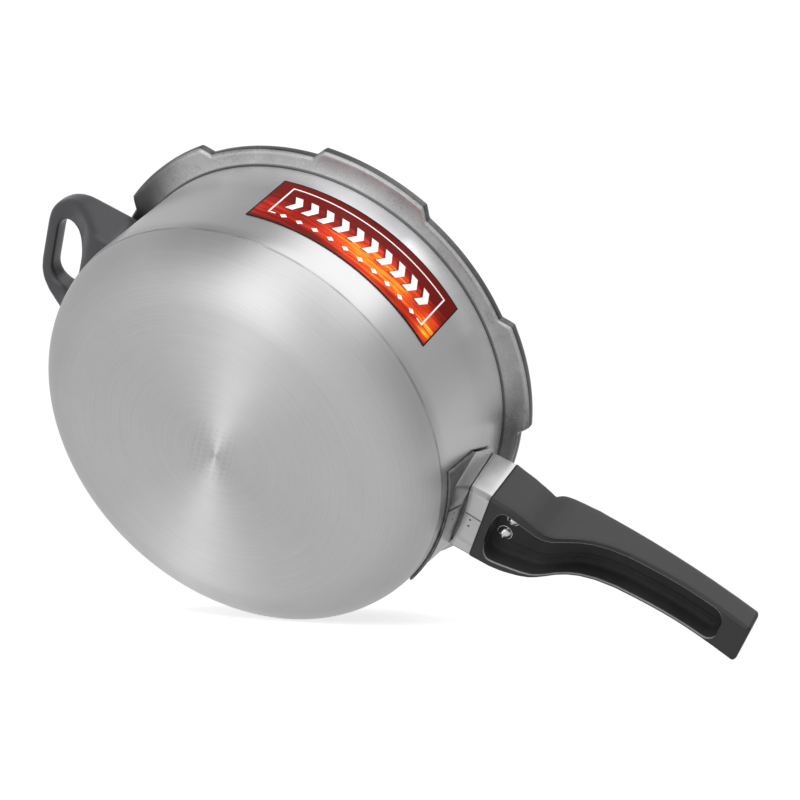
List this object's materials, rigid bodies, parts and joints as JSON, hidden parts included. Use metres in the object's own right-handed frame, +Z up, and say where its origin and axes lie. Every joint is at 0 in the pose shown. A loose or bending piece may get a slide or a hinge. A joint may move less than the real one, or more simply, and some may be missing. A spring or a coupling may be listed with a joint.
{
  "type": "pressure cooker pan",
  "caption": "Round aluminium pressure pan with a lugged rim, a long hollow side handle and a short loop helper handle.",
  "frame": {"origin": "centre of the pan's flat underside", "axes": "+X along the long handle, +Z up the pan's axis, +Y to the left when looking out along the long handle"},
  "size_m": [0.4135, 0.246, 0.098],
  "materials": {
    "pan_aluminium": "polished wall, turned base, blasted rim",
    "label": "glossy printed sticker",
    "cast_bracket": "dark cast, matte",
    "rivet_aluminium": "satin",
    "bracket_steel": "plain",
    "collar_steel": "bright rolled sheet",
    "phenolic": "satin moulded phenolic",
    "plated_screw": "bright zinc plated"
  },
  "bodies": {
    "root": {"pan_body": "pan_aluminium", "wall_label": "label", "saddle": "cast_bracket", "saddle_rivets": "rivet_aluminium", "handle_tongue": "bracket_steel", "tongue_pin": "bracket_steel", "neck_band": "collar_steel", "flame_guard": "collar_steel", "long_handle": "phenolic", "front_handle_screw": "plated_screw", "rear_handle_screw": "plated_screw", "front_washer": "plated_screw", "rear_washer": "plated_screw", "helper_bracket": "bracket_steel", "helper_rivets": "rivet_aluminium", "helper_handle": "phenolic", "helper_screws": "plated_screw", "helper_washers": "plated_screw", "helper_nuts": "plated_screw"}
  },
  "joints": []
}
